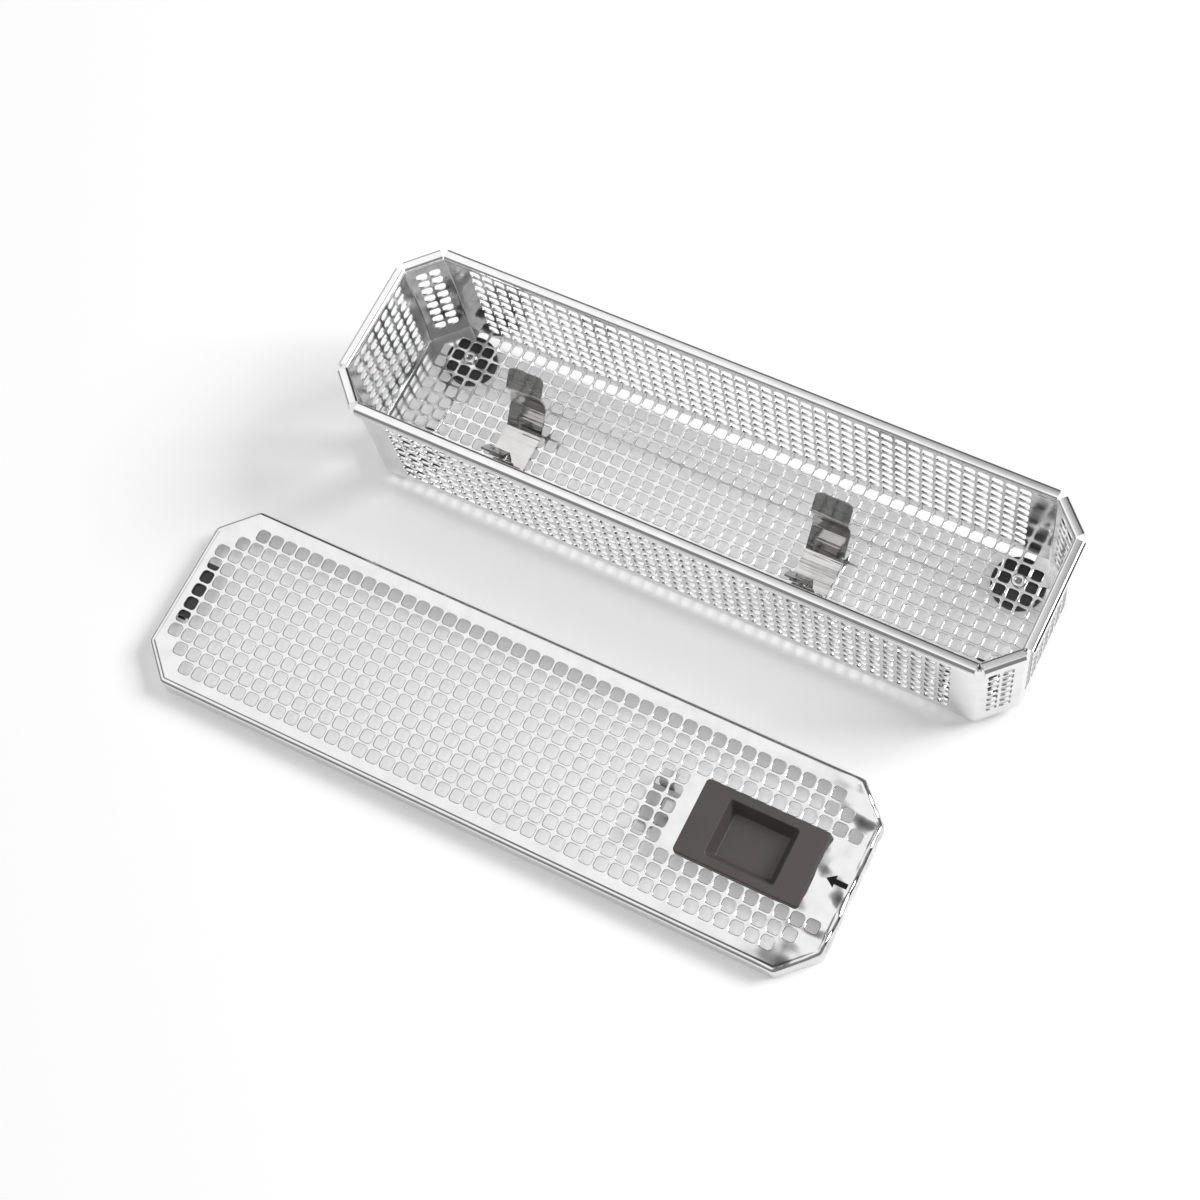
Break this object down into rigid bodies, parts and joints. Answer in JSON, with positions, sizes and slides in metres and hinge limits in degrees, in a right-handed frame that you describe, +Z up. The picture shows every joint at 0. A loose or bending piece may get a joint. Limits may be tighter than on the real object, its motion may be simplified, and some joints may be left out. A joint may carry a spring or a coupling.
{
  "type": "perforated sterilising basket with lid",
  "caption": "Long perforated steel sterilising basket with feet, rolled rim and spring clips, its latching lid lying beside it.",
  "frame": {"origin": "middle of the basket and lid together, on the table they stand on", "axes": "+X along the tray towards the latch's end, +Y from the lid towards the basket, +Z up"},
  "size_m": [0.3176, 0.1914, 0.0625],
  "materials": {
    "perforated_sheet": "electropolished",
    "spring_steel": "polished",
    "rivet_steel": "polished",
    "foot_rubber": "matt",
    "dark_plastic": "satin"
  },
  "bodies": {
    "basket_and_lid": {"tray_floor": "perforated_sheet", "long_wall_near": "perforated_sheet", "long_wall_far": "perforated_sheet", "end_wall_left": "perforated_sheet", "end_wall_right": "perforated_sheet", "corner_panel_near_left": "perforated_sheet", "corner_panel_near_right": "perforated_sheet", "corner_panel_far_left": "perforated_sheet", "corner_panel_far_right": "perforated_sheet", "foot_near_left": "foot_rubber", "foot_near_right": "foot_rubber", "foot_far_left": "foot_rubber", "foot_far_right": "foot_rubber", "foot_rivet_near_left": "rivet_steel", "foot_rivet_near_right": "rivet_steel", "foot_rivet_far_left": "rivet_steel", "foot_rivet_far_right": "rivet_steel", "clip_left_spring": "spring_steel", "clip_left_jaw": "spring_steel", "clip_left_rivet_jaw": "rivet_steel", "clip_left_rivet_side": "rivet_steel", "clip_right_spring": "spring_steel", "clip_right_jaw": "spring_steel", "clip_right_rivet_jaw": "rivet_steel", "clip_right_rivet_side": "rivet_steel", "lid_plate": "perforated_sheet", "lid_skirt": "perforated_sheet", "lid_hook": "dark_plastic", "latch_guide_inner": "spring_steel", "latch_guide_outer": "spring_steel", "latch_spring_bracket": "spring_steel", "latch_spring": "spring_steel"},
    "latch": {"latch_slider": "dark_plastic", "latch_tongue": "spring_steel", "latch_screw_inner": "rivet_steel", "latch_screw_outer": "rivet_steel"}
  },
  "joints": [
    {"name": "latch_slide", "type": "slide", "parent": "basket_and_lid", "child": "latch", "axis": [-1, 0, 0], "range_m": [0, 0.006], "stiffness_N_per_m": 400, "springref_m": -0.004, "deforming": ["latch_spring"]}
  ]
}
